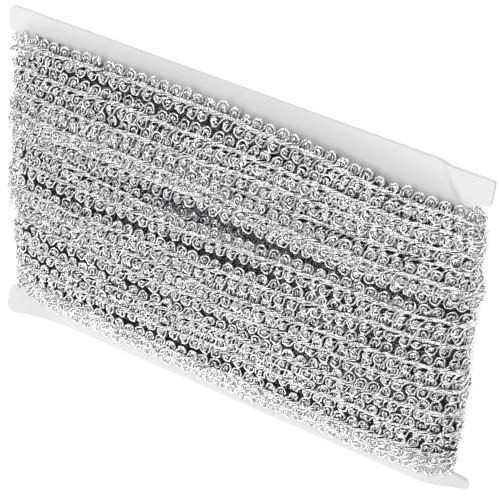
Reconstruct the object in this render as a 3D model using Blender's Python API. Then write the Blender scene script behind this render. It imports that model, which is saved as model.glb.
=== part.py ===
"""A length of silver scroll braid wound round a notched white card.

The card lies on its back with its face up: X runs along its long side, Y up its face and
Z out of it. The braid is one solid of its wound form, a ring round the card's waist with a
shingled ridge for every turn. Sizes are in metres; tables and MM values are in millimetres.
"""

import math

import bmesh
import bpy
import numpy as np

MM = 0.001

# Card
CARD_THICKNESS = 1.4
NECK_HALF_WIDTH = 92.5
SLOT_CLEARANCE = 0.3
CORNER_STEPS = 5
BEND_CUTS = (0.01, 0.35, 0.7, 1.05)

# Winding
END_THICKNESS = 6.0
END_EDGE_SHARE = 0.9
FRONT_THICKNESS = 11.0
BACK_THICKNESS = 9.6
BACK_FLAT = 8.0
TOP_EDGE_SHARE = 0.44
FOOT_EDGE_SHARE = 0.52
ROUNDNESS = 2.6
WOUND_TOP = 61.2
WOUND_FOOT = -60.0
BRAID_HALF_WIDTH = 6.0
PINCH_START = 80.0
PINCH_TOP_LEFT = 0.87
PINCH_TOP_RIGHT = 0.94
PINCH_FOOT_LEFT = 0.95
PINCH_FOOT_RIGHT = 0.92
GROOVE_DEPTH = 1.1
EDGE_DEPTH = 0.2
LEAST_SHOWING = 0.15
SLOT_CORNER_SHARE = 0.9
SLOT_INSET = 6.0
SECTION_STEPS = 720
BACK_RIDGE_SHARE = 0.5
STATIONS = 60

# Rows across one turn: the upper shoulder lies between the turn's upper edge and its spine,
# the crest and the lower shoulder between its spine and its lower edge.
UPPER_SHOULDER = 0.3
UPPER_RISE = 0.2
CREST = 0.25
CREST_RISE = 0.9
LOWER_SHOULDER = 0.8
LOWER_RISE = 0.6

# Outline of the card, anticlockwise from the lower left tab: x, y and corner radius.
CARD_OUTLINE = (
    ("lower left outer corner", -101.5, -67.0, 5.0),
    ("lower right outer edge", 88.0, -67.0, 8.0),
    ("lower right tip foot", 102.0, -64.8, 2.0),
    ("lower right tip head", 101.6, -60.0, 1.0),
    ("lower right notch", 92.8, -55.8, 3.0),
    ("upper right notch", 92.8, 54.9, 2.0),
    ("upper right tip foot", 100.9, 57.3, 0.8),
    ("upper right outer corner", 101.7, 67.0, 1.2),
    ("upper left outer corner", -99.8, 67.0, 4.0),
    ("upper left tip foot", -99.4, 57.4, 1.5),
    ("upper left notch", -92.8, 53.9, 2.0),
    ("lower left notch", -92.8, -55.8, 3.0),
    ("lower left tip head", -102.0, -57.0, 2.0),
)

# Soft bends of the tabs: a crease line through two points of the card, how steeply the
# card rises past it (rise over run) and over what width the bend is rounded.
CARD_BENDS = (
    # x1, y1, x2, y2, slope, softness
    (-92.8, -55.8, -73.0, -67.0, 0.66, 9.0),
    (80.0, -67.0, 92.8, -55.8, -0.42, 6.0),
    (89.9, 49.0, 79.4, 67.0, 0.52, 2.0),
    (92.8, 50.7, 82.3, 68.7, -0.53, 2.0),
)

# Every turn of the braid on the face, top to foot: the height of its spine at three
# places along the card, and how far it lies above the mean surface.
TURNS = (
    # left, middle, right, lift
    (55.0, 55.8, 51.3, 0.0),
    (44.4, 45.5, 43.5, 0.0),
    (34.1, 37.9, 38.0, -0.3),
    (27.0, 27.0, 23.3, 0.4),
    (21.3, 22.6, 20.0, 0.2),
    (16.1, 14.0, 14.0, -1.6),
    (7.6, 8.1, 8.9, 0.0),
    (-5.6, -3.6, -0.9, 0.0),
    (-11.5, -12.5, -12.4, 0.0),
    (-20.5, -19.6, -20.8, 0.3),
    (-32.0, -30.8, -31.5, 0.0),
    (-41.4, -38.1, -41.0, 0.5),
    (-49.8, -49.9, -50.8, 0.0),
    (-54.0, -54.9, -55.5, -0.5),
)
TOP_LINE = (60.2, WOUND_TOP, 56.4)
FOOT_LINE = (-56.5, WOUND_FOOT, -58.5)
LEFT_PLACE = -80.0
RIGHT_PLACE = 70.0

# Colours
CARD_WHITE = (0.80, 0.80, 0.81, 1.0)
BRAID_SILVER = (0.55, 0.55, 0.56, 1.0)


def clear_scene():
    """Remove every object, so that the part starts from nothing."""
    for item in list(bpy.data.objects):
        bpy.data.objects.remove(item, do_unlink=True)


def make_material(name, colour, roughness, metallic):
    """Return a plain Principled material."""
    material = bpy.data.materials.new(name)
    material.use_nodes = True
    shader = material.node_tree.nodes["Principled BSDF"]
    shader.inputs["Base Color"].default_value = colour
    shader.inputs["Roughness"].default_value = roughness
    shader.inputs["Metallic"].default_value = metallic
    return material


def add_object(name, mesh_maker, material):
    """Make a named object from a bmesh and link it to the scene."""
    mesh = bpy.data.meshes.new(name)
    mesh_maker.to_mesh(mesh)
    mesh_maker.free()
    mesh.materials.append(material)
    made = bpy.data.objects.new(name, mesh)
    bpy.context.scene.collection.objects.link(made)
    return made


# The card


def rounded_outline(corners):
    """Return the outline's points, with a rounding at every corner."""
    points = []
    places = [np.array(corner[1:3]) for corner in corners]
    for index, (_, _, _, radius) in enumerate(corners):
        here = places[index]
        back = places[index - 1] - here
        ahead = places[(index + 1) % len(places)] - here
        back /= np.linalg.norm(back)
        ahead /= np.linalg.norm(ahead)
        half_angle = math.acos(float(np.clip(back @ ahead, -1.0, 1.0))) / 2
        reach = radius / math.tan(half_angle)
        start = here + back * reach
        end = here + ahead * reach
        for step in range(CORNER_STEPS + 1):
            share = step / CORNER_STEPS
            first = start + (here - start) * share
            second = here + (end - here) * share
            points.append(first + (second - first) * share)
    return points


def card_rise(x, y):
    """Return how far the card's bends lift it at one point, in millimetres."""
    rise = 0.0
    for x1, y1, x2, y2, slope, softness in CARD_BENDS:
        run = np.array([x2 - x1, y2 - y1])
        run /= np.linalg.norm(run)
        past = (x - x1) * run[1] - (y - y1) * run[0]
        if past <= 0:
            continue
        if past < softness:
            rise += slope * past**2 / (2 * softness)
        else:
            rise += slope * (past - softness / 2)
    return rise


def cut_along_bends(sheet):
    """Cut the sheet beside each crease, so that it can bend there."""
    for x1, y1, x2, y2, _, softness in CARD_BENDS:
        run = np.array([x2 - x1, y2 - y1])
        run /= np.linalg.norm(run)
        side = np.array([run[1], -run[0]])
        middle = np.array([x1 + x2, y1 + y2]) / 2
        for share in BEND_CUTS:
            place = np.array([x1, y1]) + side * share * softness
            near = [face for face in sheet.faces if crosses_bend(face, place, side, middle)]
            edges = list({edge for face in near for edge in face.edges})
            verts = list({vert for face in near for vert in face.verts})
            bmesh.ops.bisect_plane(
                sheet,
                geom=verts + edges + near,
                dist=1e-6,
                plane_co=(*(place * MM), 0.0),
                plane_no=(*side, 0.0),
            )


def crosses_bend(face, place, side, middle):
    """Tell whether a face of the sheet spans a crease, in the quarter that the crease is in."""
    corners = [np.array([vert.co.x, vert.co.y]) / MM for vert in face.verts]
    sides = [float((corner - place) @ side) for corner in corners]
    in_quarter = any(np.all(corner * middle > 0) for corner in corners)
    return in_quarter and min(sides) < 0 < max(sides)


def build_card(material):
    """Build the notched card as one bent sheet."""
    sheet = bmesh.new()
    verts = [sheet.verts.new((x * MM, y * MM, 0.0)) for x, y in rounded_outline(CARD_OUTLINE)]
    sheet.faces.new(verts)
    bmesh.ops.recalc_face_normals(sheet, faces=sheet.faces)
    cut_along_bends(sheet)
    bmesh.ops.triangulate(sheet, faces=sheet.faces)
    for vert in sheet.verts:
        vert.co.z = card_rise(vert.co.x / MM, vert.co.y / MM) * MM
    card = add_object("card", sheet, material)
    thick = card.modifiers.new("Thickness", "SOLIDIFY")
    thick.thickness = CARD_THICKNESS * MM
    thick.offset = 0.0
    return card


# The wound braid


def edge_share(y, share):
    """Return how thick the winding is at one height, as a share of its middle."""
    reach = min(abs(y / (WOUND_TOP if y > 0 else WOUND_FOOT)), 1.0)
    return 1 - (1 - share) * reach**2


def front_height(spine, x):
    """Return where a turn's line lies on the face at x, from its three heights."""
    left, middle, right = spine
    x = min(max(x, -NECK_HALF_WIDTH), NECK_HALF_WIDTH)
    if x < 0:
        return middle + (left - middle) * (x / LEFT_PLACE) ** 2
    return middle + (right - middle) * (x / RIGHT_PLACE) ** 2


def pinch(y, x):
    """Draw a line's height in towards the neck, where the braid turns round the end."""
    share = min(max((abs(x) - PINCH_START) / (NECK_HALF_WIDTH - PINCH_START), 0.0), 1.0)
    share = share * share * (3 - 2 * share)
    if y > 0:
        closing = PINCH_TOP_LEFT if x < 0 else PINCH_TOP_RIGHT
    else:
        closing = PINCH_FOOT_LEFT if x < 0 else PINCH_FOOT_RIGHT
    return y * (1 + (closing - 1) * share)


def section_loop(y):
    """Return one closed section of the winding at height y, as points in x and z."""
    half_width = NECK_HALF_WIDTH + END_THICKNESS * edge_share(y, END_EDGE_SHARE)
    share = edge_share(y, TOP_EDGE_SHARE if y > 0 else FOOT_EDGE_SHARE)
    angles = np.linspace(0.0, 2 * math.pi, SECTION_STEPS + 1)
    cosine = np.cos(angles)
    sine = np.sin(angles)
    x = half_width * np.sign(cosine) * np.abs(cosine) ** (2 / ROUNDNESS)
    z = np.sign(sine) * np.abs(sine) ** (2 / ROUNDNESS)
    z *= np.where(sine > 0, FRONT_THICKNESS, BACK_THICKNESS) * share
    return x, z


def even_stations(x, z):
    """Pick the stations round a section: even along the faces, closer where it turns."""
    step_x = np.diff(x)
    step_z = np.diff(z)
    length = np.hypot(step_x, step_z)
    heading = np.unwrap(np.arctan2(step_z, step_x))
    turning = np.abs(np.diff(heading, append=heading[0] + 2 * math.pi))
    measure = length / length.sum() + turning / turning.sum()
    along = np.concatenate([[0.0], np.cumsum(measure)])
    wanted = np.linspace(0.0, along[-1], STATIONS, endpoint=False)
    return np.interp(wanted, along, x), np.interp(wanted, along, z)


def outward(x, z):
    """Return the unit direction out of the section at each station."""
    ahead_x = np.roll(x, -1) - np.roll(x, 1)
    ahead_z = np.roll(z, -1) - np.roll(z, 1)
    size = np.hypot(ahead_x, ahead_z)
    return ahead_z / size, -ahead_x / size


def ridge_rows():
    """Return the rows that shape the turns: three heights along the face and a rise."""
    spines = [np.array(turn[:3]) for turn in TURNS]
    rows = [(np.array(TOP_LINE), -EDGE_DEPTH)]
    for index, spine in enumerate(spines):
        lift = TURNS[index][3]
        upper = rows[-1][0]
        if index + 1 < len(spines):
            below = spines[index + 1]
            lower = np.maximum(spine - BRAID_HALF_WIDTH, below + LEAST_SHOWING * (spine - below))
        else:
            lower = np.array(FOOT_LINE)
        rows.append((upper + UPPER_SHOULDER * (spine - upper), lift + UPPER_RISE))
        rows.append((spine + CREST * (lower - spine), lift + CREST_RISE))
        rows.append((spine + LOWER_SHOULDER * (lower - spine), lift + LOWER_RISE))
        rows.append((lower, min(lift, 0.0) - GROOVE_DEPTH))
    rows[-1] = (rows[-1][0], -EDGE_DEPTH)
    return rows


def ridge_ring(heights, rise):
    """Return one row of points round the winding, in millimetres."""
    x, z = even_stations(*section_loop(float(np.mean(heights))))
    out_x, out_z = outward(x, z)
    ring = []
    for index in range(STATIONS):
        on_face = z[index] > 0
        if on_face:
            y = front_height(heights, x[index])
        else:
            left = front_height(heights, -NECK_HALF_WIDTH)
            right = front_height(heights, NECK_HALF_WIDTH)
            y = float(np.interp(x[index], (-NECK_HALF_WIDTH, NECK_HALF_WIDTH), (left, right)))
        y = pinch(y, x[index])
        swell = rise if on_face else rise * BACK_RIDGE_SHARE
        place_z = z[index] + out_z[index] * swell
        ring.append((x[index] + out_x[index] * swell, y, max(place_z, -BACK_FLAT)))
    return ring


def slot_ring(outer):
    """Return the slot's row inside one outer row, clear of the card and under the row's edge."""
    slot_x = NECK_HALF_WIDTH + 2 * SLOT_CLEARANCE
    slot_z = CARD_THICKNESS / 2 + SLOT_CLEARANCE
    ring = []
    for x, y, z in outer:
        y -= math.copysign(SLOT_INSET, y)
        quarter = [point for point in outer if point[0] * x > 0 and point[2] * z > 0]
        if abs(x) > slot_x:
            shoulder = max(abs(point[2]) for point in quarter)
            depth = slot_z * min(abs(z) / shoulder, SLOT_CORNER_SHARE)
            ring.append((math.copysign(slot_x, x), y, math.copysign(depth, z)))
        else:
            widest = max(abs(point[0]) for point in quarter if abs(point[0]) <= slot_x)
            ring.append((x * slot_x / widest, y, math.copysign(slot_z, z)))
    return ring


def build_winding(material):
    """Build the wound braid as one closed ring with a slot for the card."""
    shell = bmesh.new()
    outer_rows = [ridge_ring(heights, rise) for heights, rise in ridge_rows()]
    rings = [slot_ring(outer_rows[0]), *outer_rows, slot_ring(outer_rows[-1])]
    made = [[shell.verts.new((x * MM, y * MM, z * MM)) for x, y, z in ring] for ring in rings]
    made.append(made[0])
    for upper, lower in zip(made, made[1:]):
        for index in range(STATIONS):
            ahead = (index + 1) % STATIONS
            shell.faces.new((upper[index], upper[ahead], lower[ahead], lower[index]))
    bmesh.ops.recalc_face_normals(shell, faces=shell.faces)
    winding = add_object("wound_trim", shell, material)
    winding.data.shade_smooth()
    winding.data.set_sharp_from_angle(angle=math.radians(40))
    return winding


def centre_on_origin(items):
    """Move the part so that its box stands on the origin."""
    bpy.context.view_layer.update()
    corners = [item.matrix_world @ vert.co for item in items for vert in item.data.vertices]
    points = np.array([tuple(corner) for corner in corners])
    low = points.min(axis=0)
    high = points.max(axis=0)
    for item in items:
        item.location.x -= (low[0] + high[0]) / 2
        item.location.y -= (low[1] + high[1]) / 2
        item.location.z -= low[2]


def main():
    """Build the card and the wound braid."""
    clear_scene()
    paper = make_material("card_white", CARD_WHITE, roughness=0.6, metallic=0.0)
    silver = make_material("braid_silver", BRAID_SILVER, roughness=0.4, metallic=0.7)
    centre_on_origin([build_card(paper), build_winding(silver)])


main()
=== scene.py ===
"""Silver scroll braid wound on a notched white card, dressed and lit for its studio view.

The card lies on its back: X runs along its long side, Y up its face, Z out of it. Tables and
dataclass fields are in millimetres about the middle of the card; meshes are in metres in the
part's own frame. The braid is laid as one long band that climbs round the card turn by turn.
"""

import logging
import math
from dataclasses import dataclass, field
from enum import Enum

import bpy
import numpy as np
from mathutils import Matrix


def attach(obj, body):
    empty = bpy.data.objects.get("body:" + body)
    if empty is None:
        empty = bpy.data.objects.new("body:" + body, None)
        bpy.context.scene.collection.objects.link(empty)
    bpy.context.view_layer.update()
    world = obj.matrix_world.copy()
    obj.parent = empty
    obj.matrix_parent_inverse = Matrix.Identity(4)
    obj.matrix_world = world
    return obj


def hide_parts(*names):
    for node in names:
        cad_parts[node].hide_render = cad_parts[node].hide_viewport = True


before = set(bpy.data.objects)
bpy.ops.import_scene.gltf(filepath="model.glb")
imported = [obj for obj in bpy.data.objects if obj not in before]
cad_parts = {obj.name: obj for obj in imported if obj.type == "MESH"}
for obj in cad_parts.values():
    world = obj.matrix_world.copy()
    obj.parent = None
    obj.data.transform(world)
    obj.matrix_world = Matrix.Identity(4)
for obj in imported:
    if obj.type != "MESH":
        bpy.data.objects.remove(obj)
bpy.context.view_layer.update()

MM = 0.001
# Where the middle of the card's sheet lies in the part's own frame.
CARD_MIDDLE = np.array([0.03, 0.0, 8.0])
WHITE = "ffffff"
STRAND_UV = "Strand"
LOG = logging.getLogger("wound_braid")


class Slot(Enum):
    """The name of the record's material slot for the braid."""

    BRAID = "braid"


class Row(Enum):
    """The three rows of strands that lie across the braid."""

    SHELL = "shell"
    SPINE = "spine"
    LOOP = "loop"


# Node and colour helpers


def linear(code: str) -> tuple[float, float, float, float]:
    """Turn an sRGB hex colour into linear light.

    Args:
        code: Six hex digits, such as "d8d8dc".

    Returns:
        The linear colour with full alpha.
    """
    parts = [int(code[start : start + 2], 16) / 255 for start in (0, 2, 4)]
    turned = [part / 12.92 if part <= 0.04045 else ((part + 0.055) / 1.055) ** 2.4 for part in parts]
    return (turned[0], turned[1], turned[2], 1.0)


def feed(material: bpy.types.Material, node: bpy.types.Node, inputs: dict) -> None:
    """Link or set a node's inputs.

    Args:
        material: The node's material.
        node: The node.
        inputs: Input name or number to the output socket or plain value that feeds it.
    """
    for name, source in inputs.items():
        if isinstance(source, bpy.types.NodeSocket):
            material.node_tree.links.new(source, node.inputs[name])
        else:
            node.inputs[name].default_value = source


def add_node(material: bpy.types.Material, kind: str, inputs: dict | None = None, **settings):
    """Add one node to a material, with its settings and its inputs.

    Args:
        material: The material that takes the node.
        kind: The node's type name.
        inputs: What feeds its inputs.
        settings: Properties of the node.

    Returns:
        The new node.
    """
    node = material.node_tree.nodes.new(kind)
    for name, value in settings.items():
        setattr(node, name, value)
    feed(material, node, inputs or {})
    return node


def add_grain(material: bpy.types.Material, kind: str, size: float, **inputs: float) -> bpy.types.Node:
    """Add a texture on Object coordinates.

    Args:
        material: The material that takes it.
        kind: The texture node's type name.
        size: The size of its grains in millimetres.
        inputs: Its other inputs.

    Returns:
        The texture node.
    """
    place = add_node(material, "ShaderNodeTexCoord").outputs["Object"]
    return add_node(material, kind, {"Vector": place, "Scale": 1 / (size * MM), **inputs})


def new_material(name: str) -> tuple[bpy.types.Material, bpy.types.Node]:
    """Make a node material.

    Args:
        name: The material's name.

    Returns:
        The material and its shader node.
    """
    material = bpy.data.materials.new(name)
    material.use_nodes = True
    return material, material.node_tree.nodes["Principled BSDF"]


# Finishes


@dataclass(frozen=True)
class SilverGimp:
    """Cotton core wrapped in flat silver foil thread, twisted into a cord.

    The foil gives a bright metal gleam that breaks up at every wrap; where the wraps part, the
    thread under them is dull and grey, and the near-black groove colour there is partly painted
    shade in the grooves.
    """

    name: str = "silver_foil_gimp"
    foil: str = "fafafb"
    # The groove colour: partly the duller thread under the foil, partly painted shade in the grooves.
    groove: str = "26262a"
    metallic: float = 0.75
    roughness: float = 0.3
    # Foil of this kind is nearer 0.25 mm wide; it is drawn coarser, so that the wraps show.
    wrap_pitch: float = 0.85
    wrap_share: float = 0.09
    fleck_size: float = 0.75
    fleck_detail: float = 2.0
    # Heights of the wraps and flecks at which the colour is all groove and all foil.
    groove_level: float = 0.27
    foil_level: float = 0.53
    bump_depth: float = 0.1

    def make(self) -> bpy.types.Material:
        """Return the material, wrapped along each strand's own UV map."""
        material, shader = new_material(self.name)
        place = add_node(material, "ShaderNodeUVMap", uv_map=STRAND_UV)
        along = add_node(
            material,
            "ShaderNodeVectorMath",
            {0: place.outputs["UV"], 1: (2 * math.pi, 2 * math.pi / self.wrap_pitch, 0.0)},
            operation="DOT_PRODUCT",
        )
        wave = add_node(material, "ShaderNodeMath", {0: along.outputs["Value"]}, operation="SINE")
        fleck = add_grain(material, "ShaderNodeTexNoise", self.fleck_size, Detail=self.fleck_detail)
        height = add_node(
            material,
            "ShaderNodeMath",
            {0: wave.outputs[0], 1: self.wrap_share, 2: fleck.outputs["Fac"]},
            operation="MULTIPLY_ADD",
        )
        shade = add_node(
            material,
            "ShaderNodeMapRange",
            {"Value": height.outputs[0], "From Min": self.groove_level, "From Max": self.foil_level},
        )
        colour = add_node(
            material,
            "ShaderNodeMix",
            {0: shade.outputs[0], 6: linear(self.groove), 7: linear(self.foil)},
            data_type="RGBA",
        )
        bump = add_node(
            material,
            "ShaderNodeBump",
            {"Height": height.outputs[0], "Strength": 1.0, "Distance": self.bump_depth * MM},
        )
        look = {
            "Base Color": colour.outputs[2],
            "Normal": bump.outputs["Normal"],
            "Metallic": self.metallic,
            "Roughness": self.roughness,
        }
        feed(material, shader, look)
        return material


# Painted shade: the same silver gimp darkened, so that the gaps look as deep as the photograph's.
DEEP_GIMP_PAINTED_SHADE = SilverGimp(name="silver_foil_gimp_deep_turns_painted_shade", foil="76767a", groove="0c0c0e")


@dataclass(frozen=True)
class ShadedGimp:
    """The foil gimp of the core, which only reaches the light through the gaps; its dark colours are
    painted shade, the same silver darkened.
    """

    name: str = "silver_foil_gimp_inner_turns_painted_shade"
    foil: str = "444448"
    groove: str = "08080a"
    metallic: float = 0.6
    roughness: float = 0.45
    strand_size: float = 1.3
    bump_depth: float = 0.6

    def make(self) -> bpy.types.Material:
        """Return the material, with strand-sized lumps on Object coordinates."""
        material, shader = new_material(self.name)
        lumps = add_grain(material, "ShaderNodeTexVoronoi", self.strand_size)
        colour = add_node(
            material,
            "ShaderNodeMix",
            {0: lumps.outputs["Distance"], 6: linear(self.foil), 7: linear(self.groove)},
            data_type="RGBA",
        )
        bump = add_node(
            material,
            "ShaderNodeBump",
            {"Height": lumps.outputs["Distance"], "Distance": self.bump_depth * MM},
            invert=True,
        )
        look = {
            "Base Color": colour.outputs[2],
            "Normal": bump.outputs["Normal"],
            "Metallic": self.metallic,
            "Roughness": self.roughness,
        }
        feed(material, shader, look)
        return material


@dataclass(frozen=True)
class CoatedBoard:
    """White clay-coated paperboard: smooth and slightly satin, with a faint felt-side grain.

    Its cut edges show the grey pulp core between the two white faces; their grey is partly
    painted shade on the edges.
    """

    name: str = "coated_paperboard"
    coat: str = "c6c6c7"
    shade: str = "c2c2c3"
    # The cut edges' grey: partly the pulp core, partly painted shade.
    cut_edge: str = "a0a0a2"
    # Painted light: a faint white glow that keeps the card's shaded parts as pale as the photograph's.
    glow: float = 0.12
    roughness: float = 0.55
    # Paper fibres are about 1 mm long and 0.03 mm wide; the grain is drawn at fibre length.
    grain_size: float = 1.2
    grain_detail: float = 3.0
    grain_strength: float = 0.6
    mottle_size: float = 25.0
    bump_depth: float = 0.02
    # How far a surface faces up or down where it is all cut edge and all coated face.
    edge_facing: float = 0.4
    face_facing: float = 0.7

    def make(self) -> bpy.types.Material:
        """Return the material on Object coordinates."""
        material, shader = new_material(self.name)
        grain = add_grain(material, "ShaderNodeTexNoise", self.grain_size, Detail=self.grain_detail)
        mottle = add_grain(material, "ShaderNodeTexNoise", self.mottle_size)
        colour = add_node(
            material,
            "ShaderNodeMix",
            {0: mottle.outputs["Fac"], 6: linear(self.coat), 7: linear(self.shade)},
            data_type="RGBA",
        )
        normal = add_node(material, "ShaderNodeTexCoord").outputs["Normal"]
        facing = add_node(material, "ShaderNodeSeparateXYZ", {0: normal})
        flatness = add_node(material, "ShaderNodeMath", {0: facing.outputs["Z"]}, operation="ABSOLUTE")
        on_face = add_node(
            material,
            "ShaderNodeMapRange",
            {"Value": flatness.outputs[0], "From Min": self.edge_facing, "From Max": self.face_facing},
        )
        # Cut edges take the grey that is partly pulp core and partly painted shade.
        board_and_edge_shade = add_node(
            material,
            "ShaderNodeMix",
            {0: on_face.outputs[0], 6: linear(self.cut_edge), 7: colour.outputs[2]},
            data_type="RGBA",
        )
        bump = add_node(
            material,
            "ShaderNodeBump",
            {
                "Height": grain.outputs["Fac"],
                "Strength": self.grain_strength,
                "Distance": self.bump_depth * MM,
            },
        )
        # The emission is painted light: the card glows a little to lift its shade.
        look = {
            "Base Color": board_and_edge_shade.outputs[2],
            "Normal": bump.outputs["Normal"],
            "Roughness": self.roughness,
            "Emission Color": linear(WHITE),
            "Emission Strength": self.glow,
        }
        feed(material, shader, look)
        return material


@dataclass(frozen=True)
class LightTable:
    """Opal acrylic, matt and faintly lit, for the photograph's white ground."""

    name: str = "opal_acrylic"
    colour: str = "fbfbfb"
    roughness: float = 0.9
    glow: float = 0.55

    def make(self) -> bpy.types.Material:
        """Return the material."""
        material, shader = new_material(self.name)
        look = {
            "Base Color": linear(self.colour),
            "Roughness": self.roughness,
            "Emission Color": linear(self.colour),
            "Emission Strength": self.glow,
        }
        feed(material, shader, look)
        return material


# The wound form and the route of the braid


@dataclass
class WoundForm:
    """The smooth surface on which the outermost turns lie, round the card's waist."""

    neck_half_width: float = 92.5
    end_thickness: float = 6.0
    # How much of the end's thickness is left at the upper left, upper right, lower left and
    # lower right corners.
    end_shares: tuple[float, float, float, float] = (0.45, 0.9, 0.9, 0.5)
    front_thickness: float = 11.0
    back_thickness: float = 9.6
    back_rest: float = 7.0
    top: float = 61.2
    foot: float = -60.0
    top_edge_share: float = 0.44
    foot_edge_share: float = 0.52
    roundness: float = 2.6

    def share(self, y: np.ndarray, top: np.ndarray | float, foot: np.ndarray | float) -> np.ndarray:
        """Return how thick the winding is at height y, as a share of its middle.

        Args:
            y: Heights up the card.
            top: The share left at the winding's top.
            foot: The share left at its foot.

        Returns:
            The share at each height.
        """
        reach = np.minimum(np.abs(y / np.where(y > 0, self.top, self.foot)), 1.0)
        return 1 - (1 - np.where(y > 0, top, foot)) * reach**2

    def half_width(self, y: np.ndarray, left: np.ndarray) -> np.ndarray:
        """Return how far the winding reaches along the card.

        Args:
            y: Heights up the card.
            left: Whether each point is on the left side.

        Returns:
            The reach at each height.
        """
        top = np.where(left, self.end_shares[0], self.end_shares[1])
        foot = np.where(left, self.end_shares[2], self.end_shares[3])
        return self.neck_half_width + self.end_thickness * self.share(y, top, foot)

    def place(self, angle: np.ndarray, y: np.ndarray) -> np.ndarray:
        """Return points of the surface.

        Args:
            angle: Angles round the section, below zero on the back.
            y: Heights up the card.

        Returns:
            The points.
        """
        cosine, sine = np.cos(angle), np.sin(angle)
        power = 2 / self.roundness
        thick = np.where(sine > 0, self.front_thickness, self.back_thickness)
        thick = thick * self.share(y, self.top_edge_share, self.foot_edge_share)
        x = self.half_width(y, cosine < 0) * np.sign(cosine) * np.abs(cosine) ** power
        z = thick * np.sign(sine) * np.abs(sine) ** power
        return np.stack([x, y, z], axis=-1)

    def normal(self, angle: np.ndarray, y: np.ndarray) -> np.ndarray:
        """Return the surface's outward directions.

        Args:
            angle: Angles round the section.
            y: Heights up the card.

        Returns:
            A unit direction for each point.
        """
        step = 0.02
        rise = 0.5
        round_it = self.place(angle - step, y) - self.place(angle + step, y)
        up_it = self.place(angle, y + rise) - self.place(angle, y - rise)
        out = np.cross(round_it, up_it)
        return out / np.linalg.norm(out, axis=-1, keepdims=True)


@dataclass(frozen=True)
class Turn:
    """One pass of the braid over the face.

    Attributes:
        heights: Where its spine lies at the five places along the card, left to right.
        lifts: How far it lies above the mean surface at the left, the middle and the right.
        tilt: How far its upper edge leans into the winding, in degrees.
        slack: How far it bulges past the winding's left and right ends.
    """

    heights: tuple[float, float, float, float, float]
    lifts: tuple[float, float, float]
    tilt: float
    slack: tuple[float, float] = (0.0, 0.0)


FACE_PLACES = (-80.0, -40.0, 0.0, 40.0, 75.0)
LIFT_PLACES = (-60.0, 0.0, 60.0)

OUTER_TURNS = (
    Turn((55.4, 57.3, 56.9, 54.4, 49.8), (0.0, 0.0, 0.0), -3.0, (-2.2, -1.2)),
    Turn((44.9, 46.9, 45.9, 45.0, 43.6), (0.0, 0.0, 0.2), 3.0, (0.0, 0.8)),
    Turn((35.1, 37.4, 38.3, 38.2, 37.4), (0.0, 0.0, 0.0), 3.0),
    Turn((29.5, 31.5, 31.5, 30.5, 30.5), (-2.4, -1.7, -0.9), 8.0, (1.5, 0.0)),
    Turn((27.0, 28.9, 27.1, 24.6, 23.6), (0.4, 0.6, 0.7), 3.0, (1.0, 1.0)),
    Turn((22.3, 23.6, 23.3, 21.6, 19.9), (0.1, -0.1, -0.3), 5.0),
    Turn((15.5, 11.4, 10.6, 9.4, 8.8), (-1.2, -2.9, -3.2), 6.0, (1.6, 0.0)),
    Turn((5.8, 6.8, 9.0, 9.5, 9.3), (-0.4, 0.0, 0.0), 4.0, (1.0, 0.0)),
    Turn((-5.4, -4.4, -3.0, -1.4, 0.2), (0.2, 0.2, 0.1), 4.0, (2.6, -0.2)),
    Turn((-11.3, -11.7, -12.2, -11.5, -11.2), (-0.2, -0.1, 0.0), 8.0, (2.2, 0.0)),
    Turn((-19.6, -19.4, -19.5, -19.0, -19.9), (0.0, 0.0, 0.0), 2.0, (-0.4, 0.5)),
    Turn((-31.1, -30.5, -30.2, -30.1, -30.4), (0.0, 0.0, 0.0), 2.0, (0.4, 0.0)),
    Turn((-41.2, -39.4, -38.0, -39.6, -40.4), (0.2, 0.3, 0.2), -2.0),
    Turn((-50.0, -50.7, -49.6, -49.8, -50.0), (0.1, 0.1, 0.1), 2.0),
    Turn((-54.4, -54.4, -55.0, -55.5, -56.1), (-0.5, -0.5, -0.5), -8.0),
)

INNER_TURNS = (
    Turn((53.9, 55.6, 55.2, 52.8, 48.4), (-1.6, -1.6, -1.6), -14.0),
    Turn((48.7, 50.0, 50.0, 49.0, 47.5), (-2.2, -2.6, -2.3), 8.0),
    Turn((40.5, 41.5, 42.0, 41.5, 41.0), (-2.8, -2.8, -2.2), 8.0),
    Turn((19.0, 19.0, 18.5, 17.3, 16.6), (-2.5, -2.6, -2.6), 0.0),
    Turn((3.0, 2.6, 3.4, 4.6, 4.4), (-2.4, -2.4, -1.5), 8.0),
    Turn((-7.5, -8.0, -8.5, -8.0, -7.5), (-1.8, -1.8, -1.8), 8.0),
    Turn((-20.0, -20.0, -21.0, -24.0, -25.5), (-2.0, -2.0, -1.5), 8.0),
    Turn((-37.0, -35.5, -33.0, -34.5, -36.5), (-2.3, -2.3, -2.0), 8.0),
    Turn((-42.2, -42.0, -41.2, -41.8, -42.0), (-2.4, -2.4, -1.8), 0.0),
)


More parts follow.
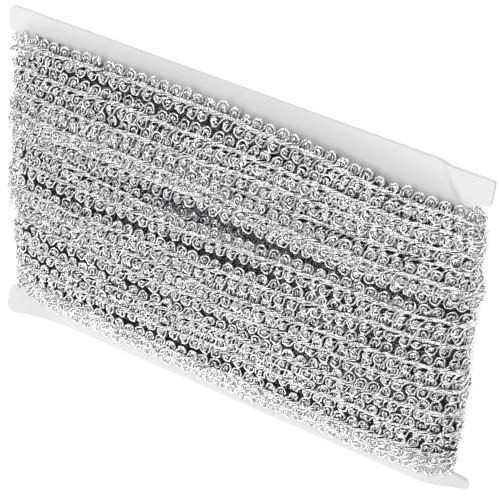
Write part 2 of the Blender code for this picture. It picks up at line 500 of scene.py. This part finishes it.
@dataclass
class BraidRoute:
    """The line of the braid's spine, with the directions out of and across it.

    Attributes:
        form: The wound form that it lies on.
        step: How far apart its points are.
        smoothing: Over what length a turn's line is rounded between its places.
        pinch_depth: How deep the card's ends reach, as a share of the thickness.
        pinch: How far heights close at the upper left, upper right, lower left and lower right.
        lead_start: The angle on the back past which the band starts.
        tuck_length: Over what length each end of a band sinks.
        tuck_depth: How far it sinks.
        face_reach: How far to either side a turn's line is worked out.
        samples: How many points a pass has before it is spaced evenly.
        lift_blur: Over how many of them to either side the lifts are averaged.
    """

    form: WoundForm
    step: float = 0.5
    smoothing: float = 14.0
    pinch_depth: float = 0.62
    pinch: tuple[float, float, float, float] = (0.87, 0.94, 0.95, 0.92)
    lead_start: float = 2.0
    tuck_length: float = 30.0
    tuck_depth: float = 2.5
    face_reach: float = 130.0
    samples: int = 1500
    lift_blur: int = 60

    def along_face(self, places: tuple, values: tuple, x: np.ndarray) -> np.ndarray:
        """Return a smooth line through a turn's values, read at x.

        Args:
            places: Where along the card the values hold.
            values: The values there.
            x: Where the line is read.

        Returns:
            The line's values at x.
        """
        fine = np.arange(-self.face_reach, self.face_reach + 0.5, 1.0)
        width = int(self.smoothing)
        kernel = np.hanning(2 * width + 1)
        smooth = np.convolve(
            np.pad(np.interp(fine, places, values), width, mode="edge"), kernel / kernel.sum(), "valid"
        )
        return np.interp(x, fine, smooth)

    def nearness(self, depth: np.ndarray) -> np.ndarray:
        """Return how near the card's end a point lies: 0 on the faces, 1 at the very end."""
        share = np.clip(1 - np.abs(depth) / self.pinch_depth, 0.0, 1.0)
        return share * share * (3 - 2 * share)

    def pinched(self, x: np.ndarray, y: np.ndarray, depth: np.ndarray) -> np.ndarray:
        """Draw heights in towards the neck, where the braid turns round the card's ends.

        Args:
            x: Places along the card.
            y: Heights up the card.
            depth: How far out of the card the braid lies there, as a share of the thickness.

        Returns:
            The heights, drawn in.
        """
        share = self.nearness(depth)
        upper = np.where(x < 0, self.pinch[0], self.pinch[1])
        lower = np.where(x < 0, self.pinch[2], self.pinch[3])
        return y * (1 + (np.where(y > 0, upper, lower) - 1) * share)

    def section(self, angle: np.ndarray, level: float) -> tuple[np.ndarray, np.ndarray]:
        """Return the places along the card and the depths round the section at one height."""
        surface = self.form.place(angle, np.full_like(angle, level))
        return surface[:, 0], np.sign(np.sin(angle)) * np.abs(np.sin(angle)) ** (2 / self.form.roundness)

    def wound(self, turns: tuple[Turn, ...]) -> dict[str, np.ndarray]:
        """Return the route of a whole winding, turn after turn.

        Args:
            turns: The passes over the face, from the top down.

        Returns:
            Arrays of the spine's points, outward and upward directions, length and turn number.
        """
        rows: list[np.ndarray] = []
        half = np.linspace(0.0, math.pi, self.samples, endpoint=False)
        end = np.array([self.form.neck_half_width])
        first = turns[0]
        last_height = float(self.along_face(FACE_PLACES, first.heights, -end)[0])
        lead = -half[half > self.lead_start]
        x, depth = self.section(lead, first.heights[2])
        y = self.pinched(x, np.full_like(x, last_height), depth)
        ones = np.ones_like(x)
        rows.append(np.stack([lead, y, ones * first.lifts[0], ones * first.tilt, ones * 0]))
        for number, turn in enumerate(turns):
            ahead = turns[min(number + 1, len(turns) - 1)]
            front = math.pi - half
            x, depth = self.section(front, turn.heights[2])
            y = self.pinched(x, self.along_face(FACE_PLACES, turn.heights, x), depth)
            lift = self.along_face(LIFT_PLACES, turn.lifts, x)
            lift = lift + self.nearness(depth) * np.where(x < 0, turn.slack[0], turn.slack[1])
            ones = np.ones_like(x)
            rows.append(np.stack([front, y, lift, ones * turn.tilt, ones * number]))
            back = -half
            x, depth = self.section(back, turn.heights[2])
            share = (1 - x / x.max()) / 2
            start = self.along_face(FACE_PLACES, turn.heights, end)
            finish = self.along_face(FACE_PLACES, ahead.heights, -end)
            y = self.pinched(x, start + (finish - start) * share, depth)
            lift = turn.lifts[2] + (ahead.lifts[0] - turn.lifts[2]) * share
            lift = lift + self.nearness(depth) * np.where(x < 0, ahead.slack[0], turn.slack[1])
            tilt = turn.tilt + (ahead.tilt - turn.tilt) * share
            rows.append(np.stack([back, y, lift, tilt, ones * number]))
        return self.even(*np.concatenate(rows, axis=1))

    def across_face(self, turn: Turn, reach: float) -> dict[str, np.ndarray]:
        """Return the route of a single deep pass over the face.

        Args:
            turn: The pass.
            reach: How far along the card it goes, to either side.

        Returns:
            The evenly spaced route.
        """
        angle = np.linspace(math.pi, 0.0, self.samples)
        x, _ = self.section(angle, turn.heights[2])
        angle, x = angle[np.abs(x) < reach], x[np.abs(x) < reach]
        ones = np.ones_like(angle)
        y = self.along_face(FACE_PLACES, turn.heights, x)
        lift = self.along_face(LIFT_PLACES, turn.lifts, x)
        return self.even(angle, y, lift, ones * turn.tilt, ones * 0)

    def even(
        self,
        angle: np.ndarray,
        height: np.ndarray,
        lift: np.ndarray,
        tilt: np.ndarray,
        number: np.ndarray,
    ) -> dict[str, np.ndarray]:
        """Space a route evenly along its length and add its directions.

        Args:
            angle: The angle round the section at each point.
            height: The height up the card.
            lift: The height above the mean surface.
            tilt: The lean of the band in degrees.
            number: Which turn the point belongs to.

        Returns:
            The evenly spaced route.
        """
        spine = self.form.place(angle, height)
        out = self.form.normal(angle, height)
        spine[:, 2] = np.maximum(spine[:, 2], -self.form.back_rest)
        length = np.concatenate([[0.0], np.cumsum(np.linalg.norm(np.diff(spine, axis=0), axis=1))])
        window = 2 * self.lift_blur + 1
        padded = np.pad(lift, self.lift_blur, mode="edge")
        lift = np.convolve(padded, np.ones(window) / window, mode="valid")
        tuck = np.clip(1 - np.minimum(length, length[-1] - length) / self.tuck_length, 0.0, 1.0)
        lift = lift - self.tuck_depth * tuck**2
        wanted = np.arange(0.0, length[-1], self.step)

        def spread(values: np.ndarray) -> np.ndarray:
            return np.stack([np.interp(wanted, length, column) for column in values.T], axis=-1)

        spine = spread(spine + out * lift[:, None])
        out = spread(out)
        ahead = np.gradient(spine, axis=0)
        ahead /= np.linalg.norm(ahead, axis=1, keepdims=True)
        out -= ahead * np.sum(out * ahead, axis=1, keepdims=True)
        out /= np.linalg.norm(out, axis=1, keepdims=True)
        up = np.cross(out, ahead)
        lean = np.radians(np.interp(wanted, length, tilt))[:, None]
        return {
            "length": wanted,
            "spine": spine,
            "out": out * np.cos(lean) + up * np.sin(lean),
            "up": up * np.cos(lean) - out * np.sin(lean),
            "number": np.interp(wanted, length, number).astype(int),
        }


# The braid's repeat


@dataclass(frozen=True)
class Strand:
    """One strand of the repeat.

    Attributes:
        row: The row of the braid that it belongs to.
        line: Its centre line: along, up and out of the braid.
        radius: Its radius at each point of the line.
        sides: How many sides its section has.
    """

    row: Row
    line: np.ndarray
    radius: np.ndarray
    sides: int


@dataclass
class ScrollPattern:
    """One repeat of the scroll braid: a coiled shell below the spine and a loop above it.

    The short lists in its methods are given points: along, up and out of the braid.
    """

    pitch: float = 4.9
    shell_drop: float = 3.3
    shell_radius: float = 1.85
    curl_radius: float = 1.08
    curl_closing: float = 0.3
    curl_stations: int = 12
    rim_radius: float = 0.43
    rim_sides: int = 5
    cord_radius: float = 0.38
    cord_sides: int = 4
    tip_share: float = 0.55
    loop_rise: float = 2.75
    loop_radii: tuple[float, float] = (1.9, 0.95)
    loop_lean: float = 0.18
    loop_thickening: float = 1.1
    arc_step: float = 36.0
    spine_reach: float = 3.6
    spine_rise: float = 0.8
    stroke_radius: float = 0.35
    stroke_taper: float = 0.4
    stroke_height: float = 0.55
    stroke_fall: float = 0.6
    stroke_stations: int = 6
    dome: float = 0.3

    def tapered(self, count: int, radius: float) -> np.ndarray:
        """Return a strand's radii, drawn in at both ends.

        Args:
            count: How many points the strand has.
            radius: Its radius between its ends.

        Returns:
            A radius for each point.
        """
        ends = np.minimum(np.arange(count), np.arange(count)[::-1])
        return radius * np.where(ends == 0, self.tip_share, 1.0)

    def arc(self, centre: float, radius: float, start: float, end: float, out: float) -> np.ndarray:
        """Return the points of an arc about a place over the spine.

        Args:
            centre: How far its centre lies above the spine.
            radius: Its radius.
            start: Angle at which it starts, in degrees.
            end: Angle at which it ends.
            out: How far it stands out.

        Returns:
            Its points, along, up and out of the braid.
        """
        angle = np.radians(np.linspace(start, end, round(abs(end - start) / self.arc_step) + 1))
        return np.stack(
            [radius * np.cos(angle), centre + radius * np.sin(angle), np.full_like(angle, out)], axis=1
        )

    def shell(self) -> list[Strand]:
        """Return the strands of the coiled shell under the spine."""
        drop = -self.shell_drop
        rim = self.arc(drop, self.shell_radius, 100.0, 362.0, 0.0)
        tucked = [[0.5, -1.1, -0.3]]
        rising = [[2.25, -2.2, 0.05], [2.95, -1.25, 0.15], [3.8, -0.5, 0.3], [5.0, 0.05, -0.05]]
        line = np.concatenate([tucked, rim, rising])
        angle = np.radians(np.linspace(40.0, 530.0, self.curl_stations))
        tight = np.linspace(self.curl_radius, self.curl_closing * self.curl_radius, len(angle))
        out = np.linspace(0.4, 1.0, len(angle)) * self.dome
        curl = np.stack([tight * np.cos(angle), drop + 0.15 + tight * np.sin(angle), out], axis=1)
        curl = np.concatenate([[[1.7, -1.9, -0.2]], curl])
        return [
            Strand(Row.SHELL, line, self.tapered(len(line), self.rim_radius), self.rim_sides),
            Strand(Row.SHELL, curl, self.tapered(len(curl), self.cord_radius), self.cord_sides),
        ]

    def loop(self) -> list[Strand]:
        """Return the strands of the leaning loop over the spine, half a pitch along."""
        outer, inner = self.loop_radii
        climbing = [[-4.6, 0.0, -0.1], [-3.3, 0.45, 0.25], [-2.4, 1.1, 0.15]]
        rim = self.arc(self.loop_rise, outer, 200.0, -50.0, 0.0)
        curl = self.arc(self.loop_rise - 0.3, inner, 230.0, -70.0, 0.15)
        stub = np.array([[0.1, 2.1, 0.0], [0.0, 2.8, 0.2], [0.1, 3.4, 0.15]])
        for line in (rim, curl):
            line[:, 0] += self.loop_lean * (line[:, 1] - self.loop_rise)
        rim = np.concatenate([climbing, rim, [[0.4, 0.6, -0.3]]])
        curl = np.concatenate([[[-0.6, 0.7, -0.2]], curl])
        rim_radius = self.cord_radius * self.loop_thickening
        strands = [
            Strand(Row.LOOP, rim, self.tapered(len(rim), rim_radius), self.rim_sides),
            Strand(Row.LOOP, curl, self.tapered(len(curl), self.cord_radius), self.cord_sides),
            Strand(Row.LOOP, stub, self.tapered(len(stub), self.cord_radius), self.cord_sides),
        ]
        shift = np.array([self.pitch / 2, 0.0, 0.0])
        return [Strand(part.row, part.line + shift, part.radius, part.sides) for part in strands]

    def spine(self) -> list[Strand]:
        """Return the slanting strands that twist along the spine."""
        share = np.linspace(-1.0, 1.0, self.stroke_stations)
        swell = 1.0 - self.stroke_taper * share**2
        strands = []
        for shift in (0.0, self.pitch / 3, self.pitch * 2 / 3):
            slant = np.stack(
                [
                    share * self.spine_reach + shift,
                    self.spine_rise * np.sin(share * math.pi / 2),
                    self.stroke_height - self.stroke_fall * share**2,
                ],
                axis=1,
            )
            strands.append(Strand(Row.SPINE, slant, self.stroke_radius * swell, self.cord_sides))
        return strands

    def strands(self) -> list[Strand]:
        """Return every strand of one repeat."""
        return [*self.shell(), *self.loop(), *self.spine()]


@dataclass
class MeshParts:
    """Loose arrays that become one joined mesh."""

    points: list[np.ndarray] = field(default_factory=list)
    quads: list[np.ndarray] = field(default_factory=list)
    caps: list[np.ndarray] = field(default_factory=list)
    places: list[np.ndarray] = field(default_factory=list)
    count: int = 0

    def add_tubes(self, rings: np.ndarray, along: np.ndarray) -> None:
        """Add tubes of one kind, each with flat ends.

        Args:
            rings: Points by tube, station, side and axis.
            along: Length along the strand by tube and station, in millimetres.
        """
        tubes, stations, sides, _ = rings.shape
        index = self.count + np.arange(tubes * stations * sides).reshape(tubes, stations, sides)
        ahead = np.roll(index, -1, axis=2)
        quads = np.stack(
            [index[:, :-1], index[:, 1:], ahead[:, 1:], ahead[:, :-1]], axis=-1
        ).reshape(-1, 4)
        turn = np.arange(sides) / sides
        around = np.stack([turn, turn, turn + 1 / sides, turn + 1 / sides], axis=-1)
        around = np.broadcast_to(around, (tubes, stations - 1, sides, 4))
        near, far = along[:, :-1, None], along[:, 1:, None]
        run = np.stack(np.broadcast_arrays(near, far, far, near), axis=-1)
        run = np.broadcast_to(run, (tubes, stations - 1, sides, 4))
        self.points.append(rings.reshape(-1, 3))
        self.quads.append(quads)
        self.places.append(np.stack([around, run], axis=-1).reshape(-1, 2))
        self.caps.extend([index[:, 0], index[:, -1, ::-1]])
        self.count += tubes * stations * sides

    def to_object(self, name: str, material: bpy.types.Material) -> bpy.types.Object:
        """Join everything into one smooth-shaded object.

        Args:
            name: The object's name.
            material: Its material.

        Returns:
            The object, linked to the scene.
        """
        points = (np.concatenate(self.points) + CARD_MIDDLE) * MM
        quads = np.concatenate(self.quads)
        corners = np.concatenate([quads.ravel(), *(cap.ravel() for cap in self.caps)])
        totals = np.concatenate([np.full(len(quads), 4)] + [np.full(len(c), c.shape[1]) for c in self.caps])
        mesh = bpy.data.meshes.new(name)
        mesh.vertices.add(len(points))
        mesh.vertices.foreach_set("co", points.ravel())
        mesh.loops.add(len(corners))
        mesh.loops.foreach_set("vertex_index", corners)
        mesh.polygons.add(len(totals))
        mesh.polygons.foreach_set("loop_start", np.concatenate([[0], np.cumsum(totals)[:-1]]))
        mesh.polygons.foreach_set("use_smooth", np.ones(len(totals), bool))
        mesh.update(calc_edges=True)
        places = np.concatenate(self.places)
        full = np.zeros((len(corners), 2))
        full[: len(places)] = places
        mesh.uv_layers.new(name=STRAND_UV).data.foreach_set("uv", full.ravel())
        mesh.materials.append(material)
        made = bpy.data.objects.new(name, mesh)
        bpy.context.scene.collection.objects.link(made)
        return made


@dataclass(frozen=True)
class Unevenness:
    """How much the copies of the repeat differ.

    Attributes:
        wander: How far the whole band swings across itself.
        loose: How far it rises and falls.
        grown: How much a copy's size varies, as a share.
        turned: How far a copy is turned, in degrees.
        kink: How far each point of a strand strays.
        lumpy: How much its radius varies, as a share.
        shared_turn, own_turn: What a copy's row and its single strands have of the turning.
        shared_growth, own_growth: What they have of the growth.
        spine_turn: How much of the turning the spine's strokes take.
        row_lean, strand_lean: How far a row leans out of the band, and a strand along it.
        shift_along, shift_up: How far a row is shifted along and across the band.
        stand_share, stand_out: A strand's own looseness, and how far all strands stand out.
        swing_waves, rise_waves: The long and the short wave of the swing and of the rise.
        swing_phase, rise_phase: Where the swing's short wave and the rise's long one start.
        short_wave: How strong a short wave is beside the long one.
        widest: The widest random value that is let through.
    """

    wander: float = 0.25
    loose: float = 0.22
    grown: float = 0.08
    turned: float = 10.0
    kink: float = 0.16
    lumpy: float = 0.24
    shared_turn: float = 0.6
    own_turn: float = 0.4
    shared_growth: float = 0.7
    own_growth: float = 0.3
    spine_turn: float = 0.35
    row_lean: float = 0.09
    strand_lean: float = 0.06
    shift_along: float = 0.2
    shift_up: float = 0.18
    stand_share: float = 0.5
    stand_out: float = 0.05
    swing_waves: tuple[float, float] = (17.0, 7.3)
    swing_phase: float = 1.0
    rise_waves: tuple[float, float] = (11.0, 5.1)
    rise_phase: float = 2.0
    short_wave: float = 0.6
    widest: float = 2.0

    def swing(self, at: np.ndarray) -> np.ndarray:
        """Return how far the band swings across itself at lengths along it."""
        long, short = self.swing_waves
        return self.wander * (np.sin(at / long) + self.short_wave * np.sin(at / short + self.swing_phase))

    def rise(self, at: np.ndarray) -> np.ndarray:
        """Return how far the band rises at lengths along it."""
        long, short = self.rise_waves
        return self.loose * (np.sin(at / long + self.rise_phase) + self.short_wave * np.sin(at / short))


@dataclass
class BraidLayer:
    """Lays the repeat along a route, each copy a little uneven.

    Attributes:
        route: The line of the spine, with its directions.
        pattern: The repeat.
        seed: The start of its random numbers.
        uneven: How much the copies differ.
        strand_draws, row_draws: How many random numbers a copy's strand and its row draw.
        row_stream: What sets the rows' random numbers apart from the strands'.
        floor_level: The height of the surface on which the winding rests.
        press: Over what height the strands are flattened there.
    """

    route: dict[str, np.ndarray]
    pattern: ScrollPattern
    seed: int
    uneven: Unevenness = Unevenness()
    strand_draws: int = 6
    row_draws: int = 5
    row_stream: int = 99
    floor_level: float = -8.0
    press: float = 0.8

    def repeats(self) -> tuple[np.ndarray, np.ndarray]:
        """Return where every repeat starts and which turn it belongs to."""
        length = self.route["length"]
        starts = np.arange(self.pattern.pitch, length[-1] - self.pattern.pitch, self.pattern.pitch)
        numbers = np.interp(starts, length, self.route["number"]).astype(int)
        return starts, numbers

    def pressed(self, points: np.ndarray) -> np.ndarray:
        """Flatten what would sink below the surface on which the winding rests."""
        start = self.floor_level + self.press
        deep = np.minimum(points[..., 2] - start, 0.0)
        points[..., 2] = np.where(deep < 0, start + self.press * np.tanh(deep / self.press), points[..., 2])
        return points

    def lay(self, parts: MeshParts, chosen: np.ndarray, starts: np.ndarray) -> None:
        """Add the chosen repeats' strands to a mesh.

        Args:
            parts: The mesh to add to.
            chosen: The numbers of the repeats to lay.
            starts: Where every repeat starts.
        """
        length = self.route["length"]
        uneven = self.uneven
        for index, strand in enumerate(self.pattern.strands()):
            dice = np.random.default_rng([self.seed, index])
            rolls = self.drawn(dice, (len(starts), self.strand_draws), chosen)[:, :, None]
            row = np.random.default_rng([self.seed, list(Row).index(strand.row), self.row_stream])
            shared = self.drawn(row, (len(starts), self.row_draws), chosen)[:, :, None]
            middle = strand.line.mean(axis=0)
            local = strand.line[None] - middle
            turn = uneven.shared_turn * shared[:, 0] + uneven.own_turn * rolls[:, 0]
            turn = np.radians(uneven.turned) * turn
            grow = uneven.shared_growth * shared[:, 1] + uneven.own_growth * rolls[:, 1]
            grow = 1 + uneven.grown * grow
            if strand.row is Row.SPINE:
                turn = turn * uneven.spine_turn
            along = (local[..., 0] * np.cos(turn) - local[..., 1] * np.sin(turn)) * grow
            up = (local[..., 0] * np.sin(turn) + local[..., 1] * np.cos(turn)) * grow
            lean = uneven.row_lean * shared[:, 2]
            out = local[..., 2] + lean * up + uneven.strand_lean * rolls[:, 2] * along
            along = along + middle[0] + uneven.shift_along * shared[:, 3]
            up = up + middle[1] + uneven.shift_up * shared[:, 4]
            out = out + middle[2] + uneven.stand_share * uneven.loose * rolls[:, 3] + uneven.stand_out
            at = starts[chosen][:, None] + along
            centre = self.mapped(at, up + uneven.swing(at), out + uneven.rise(at), length)
            bumps = self.drawn(dice, (len(starts), len(strand.line), 4), chosen)
            centre += uneven.kink * bumps[..., :3]
            radius = strand.radius * (1 + uneven.lumpy * bumps[..., 3])
            self.sweep(parts, centre, self.outward(at, length), radius, strand.sides)

    def drawn(self, dice: np.random.Generator, size: tuple[int, ...], chosen: np.ndarray) -> np.ndarray:
        """Draw random values for every repeat and keep the chosen repeats' own.

        Args:
            dice: Where the values come from.
            size: How many are drawn, every repeat's in turn.
            chosen: The numbers of the repeats that are laid.

        Returns:
            Their values, clipped.
        """
        return np.clip(dice.normal(size=size)[chosen], -self.uneven.widest, self.uneven.widest)

    def mapped(self, at: np.ndarray, up: np.ndarray, out: np.ndarray, length: np.ndarray) -> np.ndarray:
        """Return points of the band as points in space.

        Args:
            at: Their lengths along the route.
            up: How far they lie across the band.
            out: How far they stand out of it.
            length: The route's own lengths.

        Returns:
            The points.
        """
        spine = np.stack([np.interp(at, length, self.route["spine"][:, axis]) for axis in range(3)], -1)
        rise = np.stack([np.interp(at, length, self.route["up"][:, axis]) for axis in range(3)], -1)
        return spine + rise * up[..., None] + self.outward(at, length) * out[..., None]

    def outward(self, at: np.ndarray, length: np.ndarray) -> np.ndarray:
        """Return the band's outward direction at places along it."""
        return np.stack([np.interp(at, length, self.route["out"][:, axis]) for axis in range(3)], -1)

    def sweep(
        self, parts: MeshParts, centre: np.ndarray, out: np.ndarray, radius: np.ndarray, sides: int
    ) -> None:
        """Sweep a round section along every copy of one strand.

        Args:
            parts: The mesh to add to.
            centre: Centre lines by copy, station and axis.
            out: The band's outward direction there.
            radius: The strand's radius by copy and station.
            sides: How many sides its section has.
        """
        ahead = np.gradient(centre, axis=1)
        ahead /= np.linalg.norm(ahead, axis=-1, keepdims=True)
        side = np.cross(ahead, out)
        side /= np.linalg.norm(side, axis=-1, keepdims=True)
        over = np.cross(side, ahead)
        angle = 2 * math.pi * np.arange(sides) / sides
        ring = (
            side[:, :, None] * np.cos(angle)[:, None] + over[:, :, None] * np.sin(angle)[:, None]
        ) * radius[:, :, None, None]
        step = np.linalg.norm(np.diff(centre, axis=1), axis=-1)
        along = np.concatenate([np.zeros((len(centre), 1)), np.cumsum(step, axis=1)], axis=1)
        parts.add_tubes(self.pressed(centre[:, :, None] + ring), along)


@dataclass
class WoundBraid:
    """The silver braid: its outermost turns as real strands over a plain inner winding."""

    form: WoundForm = field(default_factory=WoundForm)
    pattern: ScrollPattern = field(default_factory=ScrollPattern)
    turns_a_piece: int = 3
    inner_depth: float = 3.1
    inner_height: float = 0.93
    weld: float = 0.001
    deep_reach: float = 92.0
    outer_seed: int = 7
    deep_seed: int = 50

    def build_inner(self) -> bpy.types.Object:
        """Return the inner winding, a copy of the wound solid drawn in under the outer turns."""
        inner = bpy.data.objects.new("inner_turns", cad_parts["wound_trim"].data.copy())
        bpy.context.scene.collection.objects.link(inner)
        bpy.ops.object.select_all(action="DESELECT")
        inner.select_set(True)
        bpy.context.view_layer.objects.active = inner
        bpy.ops.object.mode_set(mode="EDIT")
        bpy.ops.mesh.select_all(action="SELECT")
        bpy.ops.mesh.remove_doubles(threshold=self.weld * MM)
        bpy.ops.transform.shrink_fatten(value=-self.inner_depth * MM)
        bpy.ops.transform.resize(value=(1.0, self.inner_height, 1.0))
        bpy.ops.object.mode_set(mode="OBJECT")
        inner.data.materials.clear()
        # The inner winding takes the dark gimp of painted shade.
        inner.data.materials.append(ShadedGimp().make())
        return inner

    def build_outer(self, material: bpy.types.Material) -> list[bpy.types.Object]:
        """Build the outer turns, a few to a piece.

        Args:
            material: The braid's material.

        Returns:
            The pieces, from the top down.
        """
        layer = BraidLayer(BraidRoute(self.form).wound(OUTER_TURNS), self.pattern, self.outer_seed)
        starts, numbers = layer.repeats()
        made = []
        for first in range(0, len(OUTER_TURNS), self.turns_a_piece):
            last = min(first + self.turns_a_piece, len(OUTER_TURNS))
            parts = MeshParts()
            layer.lay(parts, np.flatnonzero((numbers >= first) & (numbers < last)), starts)
            made.append(parts.to_object(f"outer_turns_{first + 1:02d}_{last:02d}", material))
        return made

    def build_deep(self, material: bpy.types.Material) -> bpy.types.Object:
        """Build the deep turns that show between the outer ones, as one piece.

        Args:
            material: The braid's material, darkened as painted shade.

        Returns:
            The piece.
        """
        parts = MeshParts()
        for number, turn in enumerate(INNER_TURNS):
            route = BraidRoute(self.form).across_face(turn, self.deep_reach)
            layer = BraidLayer(route, self.pattern, self.deep_seed + number)
            starts, _ = layer.repeats()
            layer.lay(parts, np.arange(len(starts)), starts)
        return parts.to_object("deep_turns", material)

    def dress(self) -> list[bpy.types.Object]:
        """Build every piece of the braid and hang it on the frame.

        Returns:
            The pieces.
        """
        silver = SilverGimp().make()
        painted_shade_silver = DEEP_GIMP_PAINTED_SHADE.make()
        made = [self.build_inner(), self.build_deep(painted_shade_silver), *self.build_outer(silver)]
        for piece in made:
            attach(piece, "root")
        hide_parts("wound_trim")
        return made


@dataclass
class CardBoard:
    """The notched card under the braid."""

    node: str = "card"

    def dress(self) -> bpy.types.Object:
        """Give the card's own solid its paperboard."""
        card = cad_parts[self.node]
        card.data.materials.clear()
        card.data.materials.append(CoatedBoard().make())
        return card


@dataclass(frozen=True)
class SoftLight:
    """One square soft light that faces the object.

    Attributes:
        name: Its name.
        place: Where it hangs, in metres.
        size: The length of its side in metres.
        power: Its power in watts.
    """

    name: str
    place: tuple[float, float, float]
    size: float
    power: float

    def build(self) -> bpy.types.Object:
        """Return the light, linked to the scene."""
        lamp = bpy.data.lights.new(self.name, "AREA")
        lamp.size = self.size
        lamp.energy = self.power
        made = bpy.data.objects.new(self.name, lamp)
        made.location = self.place
        made.rotation_euler = made.location.to_track_quat("Z", "Y").to_euler()
        bpy.context.scene.collection.objects.link(made)
        return made


@dataclass
class Studio:
    """The pale floor, the soft lights and the camera, fitted to the photograph's angle."""

    floor_size: float = 6000.0
    # Just under the part, so that the two surfaces don't fight.
    floor_drop: float = 0.1
    camera_place: tuple[float, float, float] = (358.48, 439.95, 558.45)
    camera_right: tuple[float, float, float] = (0.8310, 0.0328, -0.5553)
    camera_up: tuple[float, float, float] = (-0.3324, 0.8298, -0.4483)
    lens: float = 158.4
    sensor: float = 36.0
    clip_end: float = 10000.0
    air_strength: float = 0.42
    lights: tuple[SoftLight, ...] = (
        SoftLight("top_light", (0.05, 0.9, 1.5), 1.6, 30.0),
        SoftLight("foot_light", (-0.8, -1.3, 0.7), 1.1, 14.0),
    )

    def build_floor(self) -> bpy.types.Object:
        """Return the floor on which the winding rests."""
        bpy.ops.object.select_all(action="DESELECT")
        under = (0.0, 0.0, -self.floor_drop * MM)
        bpy.ops.mesh.primitive_plane_add(size=self.floor_size * MM, location=under)
        floor = bpy.context.object
        bpy.ops.object.transform_apply(location=True)
        floor.name = "floor"
        floor.data.materials.append(LightTable().make())
        return floor

    def build_camera(self) -> bpy.types.Object:
        """Return the camera, set as fitted to the card's corners in the photograph."""
        camera = bpy.data.cameras.new("camera")
        camera.lens = self.lens
        camera.sensor_width = self.sensor
        camera.clip_end = self.clip_end * MM
        made = bpy.data.objects.new("camera", camera)
        right, up = np.array(self.camera_right), np.array(self.camera_up)
        right /= np.linalg.norm(right)
        up -= right * (up @ right)
        up /= np.linalg.norm(up)
        back = np.cross(right, up)
        turned = np.eye(4)
        turned[:3, :3] = np.stack([right, up, back], axis=1)
        turned[:3, 3] = np.array(self.camera_place) * MM
        made.matrix_world = Matrix(turned.tolist())
        bpy.context.scene.collection.objects.link(made)
        bpy.context.scene.camera = made
        return made

    def build(self) -> None:
        """Build the floor, the lights, the surrounding light and the camera."""
        self.build_floor()
        for light in self.lights:
            light.build()
        world = bpy.data.worlds.new("studio_air")
        world.use_nodes = True
        world.node_tree.nodes["Background"].inputs["Color"].default_value = linear(WHITE)
        world.node_tree.nodes["Background"].inputs["Strength"].default_value = self.air_strength
        bpy.context.scene.world = world
        bpy.context.scene.view_settings.view_transform = "Standard"
        self.build_camera()


def main() -> None:
    """Build the card, the braid and the studio, and report each piece."""
    logging.basicConfig(level=logging.INFO, format="%(message)s")
    for piece in (CardBoard().dress(), *WoundBraid().dress()):
        LOG.info("%s: %d faces", piece.name, len(piece.data.polygons))
    Studio().build()


if __name__ == "__main__":
    main()
